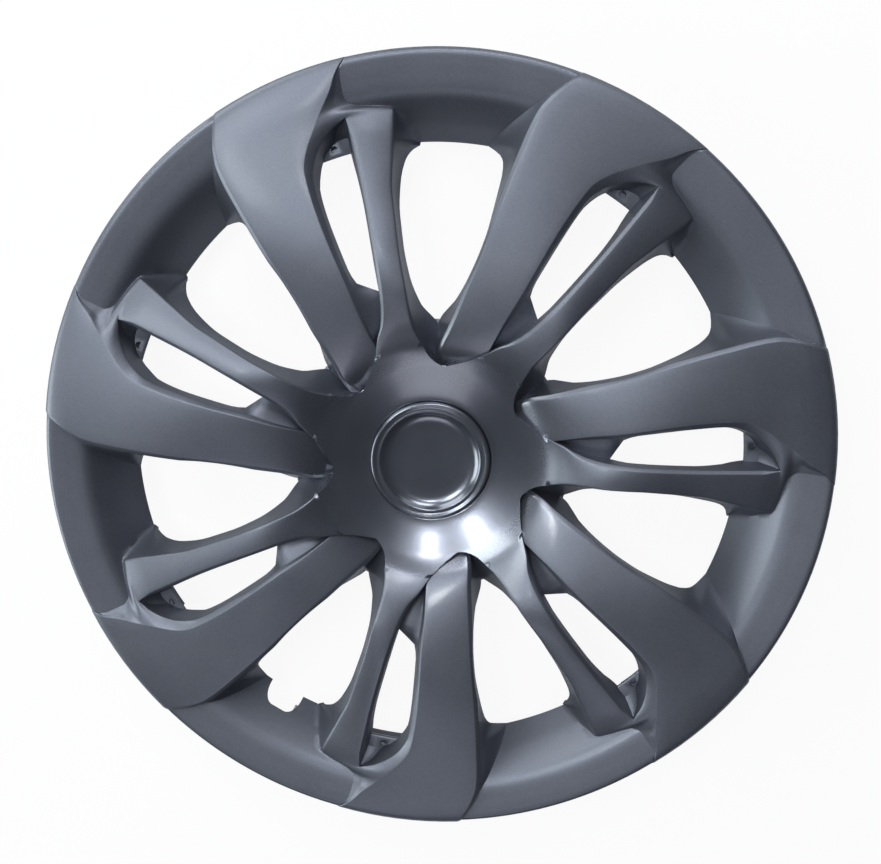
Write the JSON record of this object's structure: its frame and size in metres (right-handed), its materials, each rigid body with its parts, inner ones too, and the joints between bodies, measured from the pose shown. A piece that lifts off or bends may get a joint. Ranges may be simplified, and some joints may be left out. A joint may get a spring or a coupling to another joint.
{
  "type": "wheel trim",
  "caption": "Full plastic wheel trim with paired spokes, one broad and one slim, round a dished hub with a plain round centre cap and clips behind.",
  "frame": {"origin": "on the wheel axis, in the plane of the clip tips on which the trim lies", "axes": "+Z along the wheel axis, out of the show face; +X through the middle of one slit between a paddle and a blade; +Y a quarter turn anticlockwise seen from the show face"},
  "size_m": [0.3978, 0.3976, 0.0524],
  "materials": {
    "painted_plastic": "satin metallic grey paint on moulded plastic",
    "spring_wire": "bright drawn wire"
  },
  "bodies": {
    "root": {"cover": "painted_plastic", "centre_cap": "painted_plastic", "retaining_ring": "spring_wire"}
  },
  "joints": []
}
